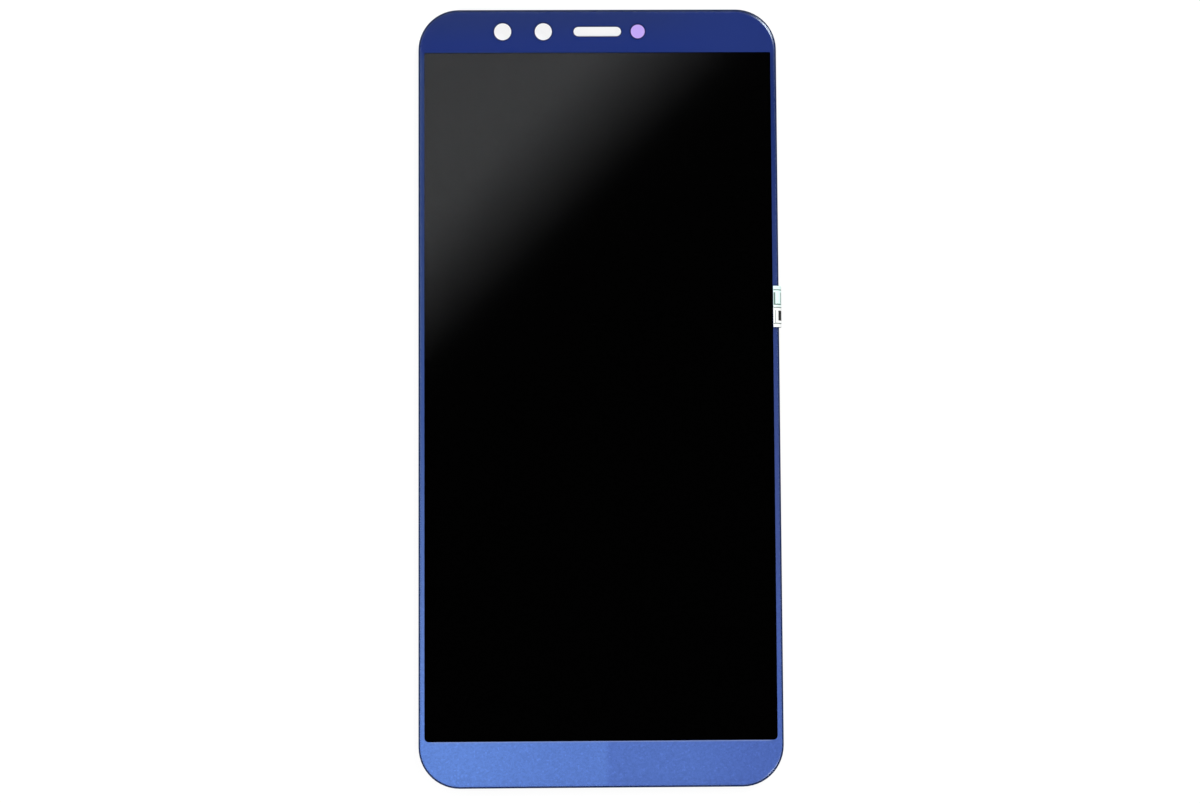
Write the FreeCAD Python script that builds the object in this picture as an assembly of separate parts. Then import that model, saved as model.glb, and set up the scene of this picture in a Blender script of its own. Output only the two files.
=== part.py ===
import FreeCAD, Part
import math
import os
from FreeCAD import Vector

os.makedirs("parts", exist_ok=True)

# Millimetres. The assembly lies on its back: X to the right, Y to the earpiece end, Z out of the glass.

# Cover glass
glass_width = 68.0
glass_height = 146.6
glass_thickness = 0.70
glass_corner_radius = 7.7
glass_edge_run = 0.55
glass_edge_drop = 0.18
glass_bevel = 0.08

# Openings in the band above the display
hole_row_from_top = 4.04
camera_x = (-18.03, -10.29)
camera_window_diameter = 3.26
slot_length = 8.95
slot_width = 1.70
slot_bevel = 0.12
sensor_x = 7.72
sensor_diameter = 2.66

# Ink border on the inner face of the glass
ink_thickness = 0.04
film_gap = 0.01
ink_setback = 0.05
border_side = 1.04
border_top = 8.08
border_bottom = 8.51
window_radius_top = 0.15
window_radius_bottom = 0.85

# Display cell
cell_overlap_side = 0.30
cell_overlap_top = 0.40
cell_overlap_bottom = 0.50
ledge_length = 3.0
cell_glass_thickness = 0.20
crystal_thickness = 0.02
seal_width = 0.55
polarizer_thickness = 0.12
polarizer_setback = 0.15
adhesive_thickness = 0.20
adhesive_setback = 0.20

# Driver chip and flexible circuit bond on the ledge
bond_film_thickness = 0.02
driver_length = 30.0
driver_depth = 1.0
driver_height = 0.25
driver_from_cell = 0.75
bond_depth = 0.80
bond_from_edge = 0.05
coating_thickness = 0.07

# Backlight
rim_tape_thickness = 0.06
rim_tape_cover = 0.36
prism_thickness = 0.06
diffuser_thickness = 0.05
guide_thickness = 0.40
reflector_thickness = 0.08
tray_sheet = 0.12
tray_wall_gap = 0.15
tray_corner_relief = 2.2
frame_wall = 0.50
frame_gap = 0.02
sheet_gap = 0.06
tab_length = 4.0
tab_reach = 0.30
window_length = 3.0
window_height = 0.22
window_count = 5
led_count = 14
led_pitch = 4.55
led_width = 3.0
led_depth = 0.80
led_height = 0.40
led_recess = 0.10
led_to_guide = 0.06
led_flex_reach = 1.50
led_tail_x = -26.5
led_tail_width = 5.0
led_tail_run = 6.0

# Flexible circuit on the back
flex_thickness = 0.10
flex_width = 45.0
flex_depth = 15.0
flex_bend_from_ledge = 0.30
flex_step_width = 8.0
flex_step_depth = 9.0
flex_tape_thickness = 0.20
flex_tape_setback = 0.8
locating_hole_diameter = 1.2
locating_hole_inset = 2.4
locating_hole_from_bend = 6.4
tail_width = 8.0
tail_x_low = 2.0
tail_x_high = 8.0
tail_jog_start = 8.0
tail_jog_run = 9.0
pad_length = 12.6
pad_depth = 5.4
connector_y = -12.0
stiffener_setback = 0.10

# Board connector
connector_length = 9.8
connector_depth = 2.2
connector_drop = 0.70
connector_wall = 0.40
connector_floor = 0.22
island_width = 0.36
contact_count = 20
contact_pitch = 0.40
contact_width = 0.18
contact_sheet = 0.06
contact_foot = 0.30
hold_down_width = 1.2

# Small parts soldered to the flexible circuit
capacitor_length = 1.0
capacitor_width = 0.5
capacitor_height = 0.35
capacitor_end = 0.22
capacitor_pitch = 1.7
capacitor_low_row = 4.2
capacitor_high_row = 7.2
memory_length = 3.0
memory_width = 2.0
memory_height = 0.40
memory_inset = 5.0
power_side = 2.2
power_height = 0.35
power_inset = 14.0
chip_bevel = 0.06

# Conductive tape and seal label
ground_tape_thickness = 0.06
ground_tape_width = 12.0
ground_tape_inset = 4.5
ground_tape_lap = 3.6
ground_tape_reach = 7.0
label_thickness = 0.08
label_height = 7.8
label_from_top = 53.0
label_lean = 38.0
label_flap = 6.0

# Levels, from the mating face of the connector up
z_flex = connector_drop
z_flex_back = z_flex + flex_thickness
z_tray = z_flex_back + flex_tape_thickness
z_floor = z_tray + tray_sheet
z_guide = z_floor + reflector_thickness
z_diffuser = z_guide + guide_thickness
z_prism_low = z_diffuser + diffuser_thickness
z_prism_high = z_prism_low + prism_thickness
z_rim_tape = z_prism_high + prism_thickness
z_polarizer = z_rim_tape + rim_tape_thickness
z_ledge_glass = z_polarizer + polarizer_thickness
z_ledge = z_ledge_glass + cell_glass_thickness
z_filter = z_ledge + crystal_thickness
z_filter_top = z_filter + cell_glass_thickness
z_adhesive = z_filter_top + polarizer_thickness + film_gap
z_ink = z_adhesive + adhesive_thickness
z_ink_top = z_ink + ink_thickness
z_glass = z_ink_top + film_gap
z_front = z_glass + glass_thickness

# Plan limits shared by the layers
glass_x = glass_width / 2
glass_y = glass_height / 2
window_x = glass_x - border_side
window_top = glass_y - border_top
window_bottom = border_bottom - glass_y
cell_x = window_x + cell_overlap_side
cell_top = window_top + cell_overlap_top
cell_bottom = window_bottom - cell_overlap_bottom
ledge_end = cell_bottom - ledge_length
hole_y = glass_y - hole_row_from_top
frame_x = cell_x - tray_sheet - frame_gap
frame_top = cell_top - tray_sheet - frame_gap
frame_bottom = ledge_end + tray_sheet + frame_gap
sheet_x = frame_x - frame_wall - sheet_gap
sheet_top = frame_top - frame_wall - sheet_gap
led_y = frame_bottom + frame_wall + sheet_gap + led_depth / 2
guide_bottom = led_y + led_depth / 2 + led_to_guide
reflector_bottom = guide_bottom + led_flex_reach + sheet_gap
tape_inner_x = sheet_x - rim_tape_cover
tape_inner_top = sheet_top - rim_tape_cover
tape_inner_bottom = cell_bottom + 0.70


def level(z):
    return lambda u, v: Vector(u, v, z)


def side(x):
    return lambda u, v: Vector(x, u, v)


def end(y):
    return lambda u, v: Vector(u, y, v)


# A closed outline through corners (u, v, radius), each corner rounded to its radius.
def outline(corners, place):
    spots = [Vector(u, v, 0) for u, v, radius in corners]
    count = len(spots)
    rounds = []
    for i, spot in enumerate(spots):
        radius = corners[i][2]
        back = (spots[i - 1] - spot).normalize()
        ahead = (spots[(i + 1) % count] - spot).normalize()
        if radius <= 0:
            rounds.append((spot, None, spot))
            continue
        half = back.getAngle(ahead) / 2
        reach = radius / math.tan(half)
        middle = (back + ahead).normalize() * (radius / math.sin(half) - radius)
        rounds.append((spot + back * reach, spot + middle, spot + ahead * reach))
    edges = []
    for i, (start, middle, stop) in enumerate(rounds):
        if middle:
            arc = [place(p.x, p.y) for p in (start, middle, stop)]
            edges.append(Part.Arc(*arc).toShape())
        after = rounds[(i + 1) % count][0]
        if (after - stop).Length > 1e-6:
            edges.append(Part.LineSegment(place(stop.x, stop.y), place(after.x, after.y)).toShape())
    return Part.Wire(edges)


# The cross-section of a bent sheet: a path of (u, v, radius) and its parallel on the left.
def sheet_section(path, thickness):
    spots = [Vector(u, v, 0) for u, v, radius in path]
    headings = [(b - a).normalize() for a, b in zip(spots, spots[1:])]
    lefts = [Vector(-h.y, h.x, 0) for h in headings]
    parallel = []
    for i, spot in enumerate(spots):
        before = lefts[max(i - 1, 0)]
        after = lefts[min(i, len(lefts) - 1)]
        shift = (before + after) * (thickness / (1 + before.dot(after)))
        turn = before.x * after.y - before.y * after.x
        radius = path[i][2]
        if radius > 0:
            radius -= math.copysign(thickness, turn)
        parallel.append((spot.x + shift.x, spot.y + shift.y, radius))
    return list(path) + parallel[::-1]


def prism(corners, place, along):
    return Part.Face(outline(corners, place)).extrude(along)


def box(x0, x1, y0, y1, z0, z1):
    return Part.makeBox(x1 - x0, y1 - y0, z1 - z0, Vector(x0, y0, z0))


def box_at(x, y, size_x, size_y, z0, z1):
    return box(x - size_x / 2, x + size_x / 2, y - size_y / 2, y + size_y / 2, z0, z1)


def rectangle(x0, x1, y0, y1, low, high):
    return [(x0, y0, low), (x1, y0, low), (x1, y1, high), (x0, y1, high)]


def plate(x0, x1, y0, y1, z0, z1, low=0.0, high=None):
    corners = rectangle(x0, x1, y0, y1, low, low if high is None else high)
    return prism(corners, level(z0), Vector(0, 0, z1 - z0))


def disc(x, y, diameter, z0, z1):
    return Part.makeCylinder(diameter / 2, z1 - z0, Vector(x, y, z0))


def slot_corners(grow):
    x = slot_length / 2 + grow
    y = slot_width / 2 + grow
    return rectangle(-x, x, hole_y - y, hole_y + y, y * 0.9999, y * 0.9999)


def slot_solid(z0, z1, grow=0.0):
    return prism(slot_corners(grow), level(z0), Vector(0, 0, z1 - z0))


def slot_flare(z_small, z_large):
    small = outline(slot_corners(0.0), level(z_small))
    large = outline(slot_corners(slot_bevel), level(z_large))
    return Part.makeLoft([small, large], True, True)


def joined(shapes):
    whole = shapes[0]
    for shape in shapes[1:]:
        whole = whole.fuse(shape)
    return whole.removeSplitter()


def export(name, *shapes):
    solids = [solid for shape in shapes for solid in shape.Solids]
    whole = solids[0] if len(solids) == 1 else Part.makeCompound(solids)
    whole.exportStep("parts/" + name + ".step")


# Cover glass, its front edge rounded all the way round
glass = plate(-glass_x, glass_x, -glass_y, glass_y, z_glass, z_front, glass_corner_radius)
under_edges = [e for e in glass.Edges if e.BoundBox.ZMax < z_glass + 0.01]
glass = glass.makeChamfer(glass_bevel, under_edges)
path = outline(
    [(-glass_x, 0.0, 0.0)]
    + rectangle(-glass_x, glass_x, -glass_y, glass_y, glass_corner_radius, glass_corner_radius),
    level(z_front),
)
edge_radius = (glass_edge_run**2 + glass_edge_drop**2) / (2 * glass_edge_drop)
edge_turn = math.asin(glass_edge_run / edge_radius)
shoulder = glass_edge_run - edge_radius * math.tan(edge_turn / 2)
edge_cut = [
    (-glass_x, z_front - glass_edge_drop, 0.0),
    (-glass_x + shoulder, z_front, edge_radius),
    (-glass_x + glass_edge_run, z_front, 0.0),
    (-glass_x + glass_edge_run, z_front + 0.5, 0.0),
    (-glass_x - 0.5, z_front + 0.5, 0.0),
    (-glass_x - 0.5, z_front - glass_edge_drop, 0.0),
]
sweep = Part.BRepOffsetAPI.MakePipeShell(path)
sweep.setBiNormalMode(Vector(0, 0, 1))
sweep.add(outline(edge_cut, end(0.0)))
sweep.build()
sweep.makeSolid()
glass = glass.cut(sweep.shape())
glass = glass.cut(slot_solid(z_glass - 1, z_front + 1))
glass = glass.cut(slot_flare(z_front - slot_bevel, z_front))
export("cover_glass", glass)

# Ink border with its openings, and the tinted ink over the light sensor
ink_x = glass_x - ink_setback
ink_y = glass_y - ink_setback
ink_radius = glass_corner_radius - ink_setback
ink = plate(-ink_x, ink_x, -ink_y, ink_y, z_ink, z_ink_top, ink_radius)
window = plate(
    -window_x,
    window_x,
    window_bottom,
    window_top,
    z_ink,
    z_ink_top,
    window_radius_bottom,
    window_radius_top,
)
ink = ink.cut(window)
for x in camera_x:
    ink = ink.cut(disc(x, hole_y, camera_window_diameter, z_ink, z_ink_top))
ink = ink.cut(disc(sensor_x, hole_y, sensor_diameter, z_ink, z_ink_top))
ink = ink.cut(slot_solid(z_ink, z_ink_top, ink_setback))
export("border_ink", ink)
export("sensor_window_ink", disc(sensor_x, hole_y, sensor_diameter, z_ink, z_ink_top))

# Optical adhesive, rising into the window of the ink
adhesive = plate(
    -cell_x + adhesive_setback,
    cell_x - adhesive_setback,
    cell_bottom + adhesive_setback,
    cell_top - adhesive_setback,
    z_adhesive,
    z_ink,
    0.5,
)
export("optical_adhesive", joined([adhesive, window]))

# Display cell
film = (
    -cell_x + polarizer_setback,
    cell_x - polarizer_setback,
    cell_bottom + polarizer_setback,
    cell_top - polarizer_setback,
)
export("front_polarizer", plate(*film, z_filter_top, z_adhesive - film_gap, 0.3))
export("rear_polarizer", plate(*film, z_polarizer, z_ledge_glass, 0.3))
filter_glass = plate(-cell_x, cell_x, cell_bottom, cell_top, z_filter, z_filter_top)
corner_edges = [e for e in filter_glass.Edges if e.BoundBox.ZLength > cell_glass_thickness * 0.9]
export("color_filter_glass", filter_glass.makeChamfer(0.35, corner_edges))
ledge_glass = plate(-cell_x, cell_x, ledge_end, cell_top, z_ledge_glass, z_ledge)
corner_edges = [e for e in ledge_glass.Edges if e.BoundBox.ZLength > cell_glass_thickness * 0.9]
export("tft_glass", ledge_glass.makeChamfer(0.35, corner_edges))
seal_outside = (-cell_x + 0.15, cell_x - 0.15, cell_bottom + 0.15, cell_top - 0.15)
seal_inside = (
    seal_outside[0] + seal_width,
    seal_outside[1] - seal_width,
    seal_outside[2] + seal_width,
    seal_outside[3] - seal_width,
)
crystal = plate(*seal_inside, z_ledge, z_filter, 0.5)
export("cell_seal", plate(*seal_outside, z_ledge, z_filter, 0.8).cut(crystal))
export("liquid_crystal_layer", crystal)

# Driver chip, bonded face down on the ledge, and the coating round it
driver_y = cell_bottom - driver_from_cell - driver_depth / 2
z_chip = z_ledge + bond_film_thickness
export("driver_bonding_film", box_at(0, driver_y, driver_length + 0.3, driver_depth + 0.2, z_ledge, z_chip))
export("driver_ic", box_at(0, driver_y, driver_length, driver_depth, z_chip, z_chip + driver_height))
bond_y0 = ledge_end + bond_from_edge
bond_y1 = bond_y0 + bond_depth
coating_x = cell_x - 0.6
z_coating = z_ledge + coating_thickness
coating = plate(-coating_x, coating_x, bond_y1 + 0.08, cell_bottom - 0.04, z_ledge, z_coating, 0.2)
coating = coating.cut(
    box_at(0, driver_y, driver_length + 0.4, driver_depth + 0.3, z_ledge - 1, z_ledge + 1)
)
export("ledge_coating", coating)

# Rim tape between the backlight and the cell
rim = plate(-frame_x, frame_x, frame_bottom, frame_top, z_rim_tape, z_polarizer, 0.4)
rim = rim.cut(
    plate(-tape_inner_x, tape_inner_x, tape_inner_bottom, tape_inner_top, z_rim_tape, z_polarizer, 0.4)
)
export("rim_tape", rim)

# Optical sheets, each with a tab in its own place along the top edge
tabs = {
    "upper_prism_sheet": (14.0, guide_bottom + 0.30, z_prism_high, z_rim_tape),
    "lower_prism_sheet": (4.0, guide_bottom + 0.20, z_prism_low, z_prism_high),
    "diffuser_sheet": (-6.0, guide_bottom + 0.10, z_diffuser, z_prism_low),
}
for name, (x, bottom, z0, z1) in tabs.items():
    sheet = plate(-sheet_x, sheet_x, bottom, sheet_top, z0, z1, 0.4)
    tab = box(x - tab_length / 2, x + tab_length / 2, sheet_top - 1, sheet_top + tab_reach, z0, z1)
    export(name, joined([sheet, tab]))

# Light guide with a locating ear on each side
ear_y = guide_bottom + 6.0
guide = plate(-sheet_x, sheet_x, guide_bottom, sheet_top, z_guide, z_diffuser, 0.4)
ears = box(-sheet_x - tab_reach, sheet_x + tab_reach, ear_y - 1.2, ear_y + 1.2, z_guide, z_diffuser)
export("light_guide_plate", joined([guide, ears]))
export("reflector_sheet", plate(-sheet_x, sheet_x, reflector_bottom, sheet_top, z_floor, z_guide, 0.4))

# Light bar: flexible strip, lamps and their phosphor windows
strip_top = guide_bottom + led_flex_reach
z_tail = z_flex - flex_thickness * 0.8
strip = plate(-frame_x + 0.1, frame_x - 0.1, frame_bottom + 0.08, strip_top, z_floor, z_guide, 0.3)
tail_x0 = led_tail_x - led_tail_width / 2
tail_x1 = led_tail_x + led_tail_width / 2
tail_edge = ledge_end - 0.15
tail_bend = (z_guide - z_tail) / 2
tail_thickness = z_guide - z_floor
tail_path = [
    (frame_bottom + 0.5, z_guide, 0.0),
    (tail_edge - tail_bend, z_guide, tail_bend),
    (tail_edge - tail_bend, z_tail, tail_bend),
    (tail_edge, z_tail, 0.0),
]
tail_strip = prism(sheet_section(tail_path, tail_thickness), side(tail_x0), Vector(led_tail_width, 0, 0))
tail_lap_x = -flex_width / 2 + 3.2
tail_lap_y = tail_edge + led_tail_run
tail_flat = prism(
    [
        (tail_x0, tail_edge, 0.0),
        (tail_x1, tail_edge, 0.0),
        (tail_x1, tail_lap_y - 3.0, 0.6),
        (tail_lap_x, tail_lap_y - 3.0, 0.4),
        (tail_lap_x, tail_lap_y, 0.4),
        (tail_x0, tail_lap_y, 1.2),
    ],
    level(z_tail),
    Vector(0, 0, tail_thickness),
)
export("led_flex", joined([strip, tail_strip, tail_flat]))
lamps = []
phosphor = []
for i in range(led_count):
    x = (i - (led_count - 1) / 2) * led_pitch
    lamp = box_at(x, led_y, led_width, led_depth, z_guide, z_guide + led_height)
    face_y = led_y + led_depth / 2
    mouth = box(
        x - led_width * 0.42,
        x + led_width * 0.42,
        face_y - led_recess,
        face_y,
        z_guide + led_height * 0.2,
        z_guide + led_height * 0.8,
    )
    lamps.append(lamp.cut(mouth))
    phosphor.append(mouth)
export("backlight_leds", *lamps)
export("led_phosphor", *phosphor)
solder = []
for i in range(3):
    y = tail_lap_y - 0.6 - 0.9 * i
    dome = Part.makeCone(0.32, 0.18, 0.12, Vector(tail_lap_x - 0.6, y, z_tail), Vector(0, 0, -1))
    solder.append(dome)
export("led_flex_solder", *solder)

# Moulded frame inside the tray
frame = plate(-frame_x, frame_x, frame_bottom, frame_top, z_floor, z_rim_tape, 0.4)
pocket = plate(
    -sheet_x - sheet_gap,
    sheet_x + sheet_gap,
    frame_bottom + frame_wall,
    sheet_top + sheet_gap,
    z_floor - 1,
    z_rim_tape + 1,
    0.4,
)
frame = frame.cut(pocket)
frame = frame.cut(box(-frame_x, frame_x, frame_bottom, strip_top + 0.1, z_floor, z_guide))
reach_x = sheet_x + tab_reach + sheet_gap
frame = frame.cut(box(-reach_x, reach_x, ear_y - 1.3, ear_y + 1.3, z_guide - 0.02, z_rim_tape + 1))
for x, bottom, z0, z1 in tabs.values():
    half = tab_length / 2 + 0.1
    notch = box(x - half, x + half, sheet_top - 1, sheet_top + tab_reach + 0.05, z_diffuser, z_rim_tape + 1)
    frame = frame.cut(notch)
hook_z = (z_floor + z_diffuser) / 2
hooks = []
window_spacing = (cell_top - ledge_end) / window_count
window_rows = [ledge_end + window_spacing * (i + 0.5) for i in range(window_count)]
for y in window_rows:
    for sign in (-1, 1):
        hooks.append(
            box_at(
                sign * (frame_x + tray_sheet / 2 - 0.05),
                y,
                tray_sheet + 0.1,
                window_length - 0.2,
                hook_z - window_height / 2 + 0.03,
                hook_z + window_height / 2 - 0.03,
            )
        )
export("mold_frame", joined([frame] + hooks))

# Steel tray: a floor with folded walls, open at the corners
wall_top = z_polarizer - tray_wall_gap
tray = plate(-cell_x, cell_x, ledge_end, cell_top, z_tray, z_floor, 0.8)
relief = tray_corner_relief
walls = []
for sign in (-1, 1):
    x0, x1 = sorted((sign * cell_x, sign * (cell_x - tray_sheet)))
    wall = box(x0, x1, ledge_end + relief, cell_top - relief, z_tray, wall_top)
    for y in window_rows:
        wall = wall.cut(
            box(
                x0 - 1,
                x1 + 1,
                y - window_length / 2,
                y + window_length / 2,
                hook_z - window_height / 2,
                hook_z + window_height / 2,
            )
        )
    walls.append(wall)
walls.append(box(-cell_x + relief, cell_x - relief, cell_top - tray_sheet, cell_top, z_tray, wall_top))
low_wall = box(-cell_x + relief, cell_x - relief, ledge_end, ledge_end + tray_sheet, z_tray, wall_top)
low_wall = low_wall.cut(box(tail_x0 - 0.3, tail_x1 + 0.3, ledge_end - 1, ledge_end + 1, z_floor, z_front))
walls.append(low_wall)
export("backlight_tray", joined([tray] + walls))

# Main flexible circuit: bonded to the ledge, bent round the bottom edge, and flat on the back
bend_y = ledge_end - flex_bend_from_ledge
z_bond = z_ledge + bond_film_thickness
bend_radius = (z_bond + flex_thickness - z_flex) / 2
flex_x = flex_width / 2
export("flex_bonding_film", box(-flex_x + 0.3, flex_x - 0.3, bond_y0, bond_y1, z_ledge, z_bond))
flex_path = [
    (bond_y1, z_bond + flex_thickness, 0.0),
    (bend_y - bend_radius, z_bond + flex_thickness, bend_radius),
    (bend_y - bend_radius, z_flex, bend_radius),
    (bend_y, z_flex, 0.0),
]
bend = prism(sheet_section(flex_path, flex_thickness), side(-flex_x), Vector(flex_width, 0, 0))
body_top = bend_y + flex_depth
pad_y0 = connector_y - pad_depth / 2
pad_y1 = connector_y + pad_depth / 2
low_x0 = tail_x_low - tail_width / 2
low_x1 = tail_x_low + tail_width / 2
high_x0 = tail_x_high - tail_width / 2
high_x1 = tail_x_high + tail_width / 2
jog_y0 = body_top + tail_jog_start
jog_y1 = jog_y0 + tail_jog_run
pad_x0 = tail_x_high - pad_length / 2
pad_x1 = tail_x_high + pad_length / 2
step_x = flex_x - flex_step_width
step_top = bend_y + flex_step_depth
flex_plan = [
    (-flex_x, bend_y, 0.0),
    (flex_x, bend_y, 0.0),
    (flex_x, step_top, 1.5),
    (step_x, step_top, 1.0),
    (step_x, body_top, 1.5),
    (low_x1, body_top, 1.5),
    (low_x1, jog_y0, 3.0),
    (high_x1, jog_y1, 3.0),
    (high_x1, pad_y0, 0.6),
    (pad_x1, pad_y0, 0.6),
    (pad_x1, pad_y1, 0.8),
    (pad_x0, pad_y1, 0.8),
    (pad_x0, pad_y0, 0.6),
    (high_x0, pad_y0, 0.6),
    (high_x0, jog_y1, 3.0),
    (low_x0, jog_y0, 3.0),
    (low_x0, body_top, 1.5),
    (-flex_x, body_top, 1.5),
]
flat = prism(flex_plan, level(z_flex), Vector(0, 0, flex_thickness))
locating_y = bend_y + locating_hole_from_bend
hole_spots = [(sign * (flex_x - locating_hole_inset), locating_y) for sign in (-1, 1)]
for x, y in hole_spots:
    flat = flat.cut(disc(x, y, locating_hole_diameter, z_flex - 1, z_flex_back + 1))
export("main_flex", joined([bend, flat]))
tape_y0 = bend_y + 0.9
tape_y1 = bend_y + 8.2
tape_x = flex_x - flex_tape_setback
tape = plate(-tape_x, tape_x, tape_y0, tape_y1, z_flex_back, z_tray, 0.5)
tape_upper = plate(
    -tape_x, step_x - flex_tape_setback, tape_y0 + 2.0, body_top - 0.6, z_flex_back, z_tray, 0.5
)
tape = joined([tape, tape_upper])
for x, y in hole_spots:
    tape = tape.cut(disc(x, y, locating_hole_diameter + 0.4, z_flex - 1, z_tray + 1))
export("flex_tape", tape)
stiffener = plate(
    pad_x0 + stiffener_setback,
    pad_x1 - stiffener_setback,
    pad_y0 + stiffener_setback,
    pad_y1 - stiffener_setback,
    z_flex_back,
    z_tray,
    0.7,
)
export("connector_stiffener", stiffener)

# Board connector: a ring-walled housing with a centre island and two rows of contacts
half_l = connector_length / 2
half_d = connector_depth / 2
hollow_l = half_l - connector_wall
hollow_d = half_d - connector_wall
z_hollow = z_flex - connector_floor
spot = Vector(tail_x_high, connector_y, 0)
housing = plate(-half_l, half_l, -half_d, half_d, 0.0, z_flex, 0.25)
housing = housing.cut(plate(-hollow_l, hollow_l, -hollow_d, hollow_d, -1.0, z_hollow, 0.12))
island_l = hollow_l - 0.45
island = plate(-island_l, island_l, -island_width / 2, island_width / 2, 0.12, z_hollow + 0.05, 0.1)
housing = joined([housing, island])
contacts = []
for i in range(contact_count):
    x = (i - (contact_count - 1) / 2) * contact_pitch
    for sign in (-1, 1):
        leg = [
            (sign * (half_d + contact_foot), z_flex, 0.0),
            (sign * (hollow_d - contact_sheet), z_flex, 0.0),
            (sign * (hollow_d - contact_sheet), 0.14, 0.0),
            (sign * hollow_d, 0.14, 0.0),
            (sign * hollow_d, z_flex - contact_sheet, 0.0),
            (sign * (half_d + contact_foot), z_flex - contact_sheet, 0.0),
        ]
        contacts.append(prism(leg, side(x - contact_width / 2), Vector(contact_width, 0, 0)))
housing = housing.cut(Part.makeCompound(contacts))
tabs_down = []
for sign in (-1, 1):
    hold = [
        (sign * (half_l + 0.5), z_flex, 0.0),
        (sign * half_l, z_flex, 0.0),
        (sign * half_l, 0.2, 0.0),
        (sign * (half_l + contact_sheet), 0.2, 0.0),
        (sign * (half_l + contact_sheet), z_flex - contact_sheet, 0.0),
        (sign * (half_l + 0.5), z_flex - contact_sheet, 0.0),
    ]
    tabs_down.append(prism(hold, end(-hold_down_width / 2), Vector(0, hold_down_width, 0)))
for shape in [housing] + contacts + tabs_down:
    shape.translate(spot)
export("connector_housing", housing)
export("connector_contacts", *contacts)
export("connector_hold_downs", *tabs_down)

# Capacitors and chips on the outer face of the flexible circuit
z_capacitor = z_flex - capacitor_height
first_x = low_x0 - 1.0
last_x = flex_x - 7.0
capacitor_spots = [(first_x + capacitor_pitch * i, bend_y + capacitor_high_row) for i in range(5)]
capacitor_spots += [(last_x - capacitor_pitch * i, bend_y + capacitor_low_row) for i in range(6)]
core = capacitor_length - 2 * capacitor_end
bodies = []
caps = []
for x, y in capacitor_spots:
    bodies.append(box_at(x, y, core, capacitor_width, z_capacitor, z_flex))
    for sign in (-1, 1):
        x_end = x + sign * (core + capacitor_end) / 2
        caps.append(box_at(x_end, y, capacitor_end, capacitor_width, z_capacitor, z_flex))
export("flex_capacitors", *bodies)
export("capacitor_terminals", *caps)


def chip(x, y, size_x, size_y, height):
    body = box_at(x, y, size_x, size_y, z_flex - height, z_flex)
    face_edges = [e for e in body.Edges if e.BoundBox.ZMax < z_flex - height / 2]
    return body.makeChamfer(chip_bevel, face_edges)


memory_x = step_x - memory_inset
memory_y = body_top - memory_inset
export("flex_memory_chip", chip(memory_x, memory_y, memory_length, memory_width, memory_height))
power_x = power_inset - flex_x
export("flex_power_chip", chip(power_x, memory_y, power_side, power_side, power_height))

# Conductive tape from the flexible circuit up onto the tray
step_y = body_top + 0.15
ground_path = [
    (body_top - ground_tape_lap, z_flex, 0.0),
    (step_y, z_flex, 0.12),
    (step_y + 0.7, z_tray, 0.12),
    (step_y + ground_tape_reach, z_tray, 0.0),
]
ground_section = sheet_section(ground_path[::-1], ground_tape_thickness)
ground_x0 = ground_tape_inset - flex_x
export("ground_tape", prism(ground_section, side(ground_x0), Vector(ground_tape_width, 0, 0)))

# Seal label, folded from the front border round the edge of the glass onto the tray
label_y1 = glass_y - label_from_top
lean = math.radians(label_lean)
leave = Vector(math.cos(edge_turn), -math.sin(edge_turn), 0)
foot = Vector(cell_x + 0.24, z_tray, 0)
rise = Vector(math.cos(lean), math.sin(lean), 0)
edge_spot = Vector(glass_x, z_front - glass_edge_drop, 0)
gap = edge_spot - foot
cross = rise.x * leave.y - rise.y * leave.x
along_edge = (gap.y * rise.x - gap.x * rise.y) / -cross
turn_spot = edge_spot + leave * along_edge
half_turn = (math.pi - lean - edge_turn) / 2
turn_radius = along_edge * math.tan(math.pi / 2 - half_turn) * 0.98
label_start = min(window_x, glass_x - glass_edge_run) - 0.02
label_path = [
    (label_start, z_front, 0.0),
    (glass_x - shoulder, z_front, edge_radius),
    (turn_spot.x, turn_spot.y, turn_radius),
    (foot.x, foot.y, 0.15),
    (cell_x - label_flap, z_tray, 0.0),
]
label_section = sheet_section(label_path, label_thickness)
export("seal_label", prism(label_section, end(label_y1), Vector(0, -label_height, 0)))
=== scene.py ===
import math

import bmesh
import bpy
import numpy as np
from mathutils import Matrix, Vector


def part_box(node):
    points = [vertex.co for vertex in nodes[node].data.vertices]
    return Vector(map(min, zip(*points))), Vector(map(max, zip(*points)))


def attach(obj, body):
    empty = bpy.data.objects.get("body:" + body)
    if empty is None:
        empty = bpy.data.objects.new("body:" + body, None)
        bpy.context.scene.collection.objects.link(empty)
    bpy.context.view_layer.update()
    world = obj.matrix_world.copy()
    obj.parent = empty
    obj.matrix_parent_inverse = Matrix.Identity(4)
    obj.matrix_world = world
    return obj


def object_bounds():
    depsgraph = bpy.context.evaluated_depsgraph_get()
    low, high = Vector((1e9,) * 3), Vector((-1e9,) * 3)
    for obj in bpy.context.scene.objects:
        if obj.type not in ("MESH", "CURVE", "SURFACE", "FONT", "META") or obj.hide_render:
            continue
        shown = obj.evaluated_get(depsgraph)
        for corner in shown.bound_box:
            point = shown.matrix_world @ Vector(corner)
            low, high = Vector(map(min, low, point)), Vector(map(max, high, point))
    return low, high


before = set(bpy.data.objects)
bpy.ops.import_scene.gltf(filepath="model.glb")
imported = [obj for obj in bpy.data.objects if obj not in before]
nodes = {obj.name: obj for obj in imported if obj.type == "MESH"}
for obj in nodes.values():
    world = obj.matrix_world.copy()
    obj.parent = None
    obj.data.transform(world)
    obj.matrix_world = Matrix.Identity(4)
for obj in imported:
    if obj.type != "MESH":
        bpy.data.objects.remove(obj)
boundsBefore = [list(corner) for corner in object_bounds()]
print("frame loaded:", len(nodes), "nodes")


def linear(red, green, blue):  # colour written as 0-255 screen values, turned into linear light
    values = np.array([red, green, blue]) / 255
    lit = np.where(values <= 0.04045, values / 12.92, ((values + 0.055) / 1.055) ** 2.4)
    return (*lit.tolist(), 1.0)


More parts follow.
